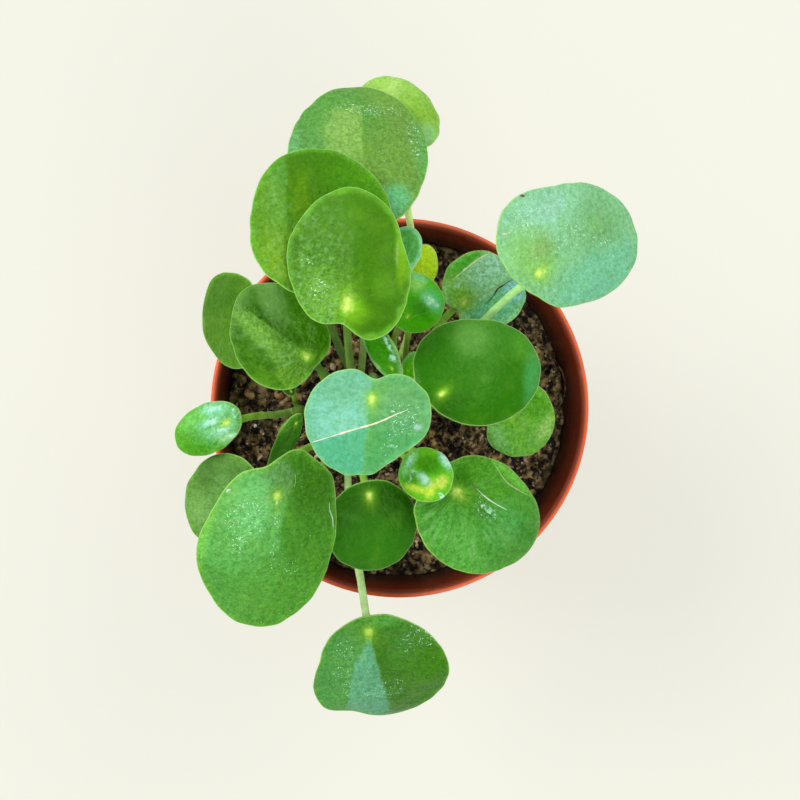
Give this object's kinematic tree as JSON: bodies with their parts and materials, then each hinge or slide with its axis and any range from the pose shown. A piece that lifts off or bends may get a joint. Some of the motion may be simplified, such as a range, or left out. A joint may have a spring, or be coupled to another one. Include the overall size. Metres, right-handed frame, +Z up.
{
  "type": "potted pilea plant",
  "caption": "Young pilea with round peltate leaves on long stalks, in a tapered plastic nursery pot filled with potting soil.",
  "frame": {"origin": "centre of the pot's base, on the surface the pot stands on", "axes": "+Z up along the pot's axis; +X and +Y level, with the longest leaf spread along Y"},
  "size_m": [0.1378, 0.1994, 0.1742],
  "materials": {
    "pot": "moulded terracotta-coloured polypropylene, satin",
    "soil": "moist peat and bark potting mix",
    "stem": "green-brown stem with leaf scars",
    "stalk": "smooth pale green leaf stalk",
    "leaf": "waxy satin leaf"
  },
  "bodies": {
    "root": {"pot": "pot", "soil": "soil", "main_stem": "stem", "side_shoot_left": "stem", "side_shoot_right": "stem", "stalk_01": "stalk", "stalk_02": "stalk", "stalk_03": "stalk", "stalk_04": "stalk", "stalk_05": "stalk", "stalk_06": "stalk", "stalk_07": "stalk", "stalk_08": "stalk", "stalk_09": "stalk", "stalk_10": "stalk", "stalk_11": "stalk", "stalk_12": "stalk", "stalk_13": "stalk", "stalk_14": "stalk", "stalk_15": "stalk", "stalk_16": "stalk", "stalk_17": "stalk", "stalk_18": "stalk", "stalk_19": "stalk", "stalk_20": "stalk", "stalk_21": "stalk", "stalk_22": "stalk", "stalk_23": "stalk", "stalk_24": "stalk", "stalk_25": "stalk", "stalk_26": "stalk", "leaf_01": "leaf", "leaf_02": "leaf", "leaf_03": "leaf", "leaf_04": "leaf", "leaf_05": "leaf", "leaf_06": "leaf", "leaf_07": "leaf", "leaf_08": "leaf", "leaf_09": "leaf", "leaf_10": "leaf", "leaf_11": "leaf", "leaf_12": "leaf", "leaf_13": "leaf", "leaf_14": "leaf", "leaf_15": "leaf", "leaf_16": "leaf", "leaf_17": "leaf", "leaf_18": "leaf", "leaf_19": "leaf", "leaf_20": "leaf", "leaf_21": "leaf", "leaf_22": "leaf", "leaf_23": "leaf", "leaf_24": "leaf", "leaf_25": "leaf", "leaf_26": "leaf"}
  },
  "joints": []
}
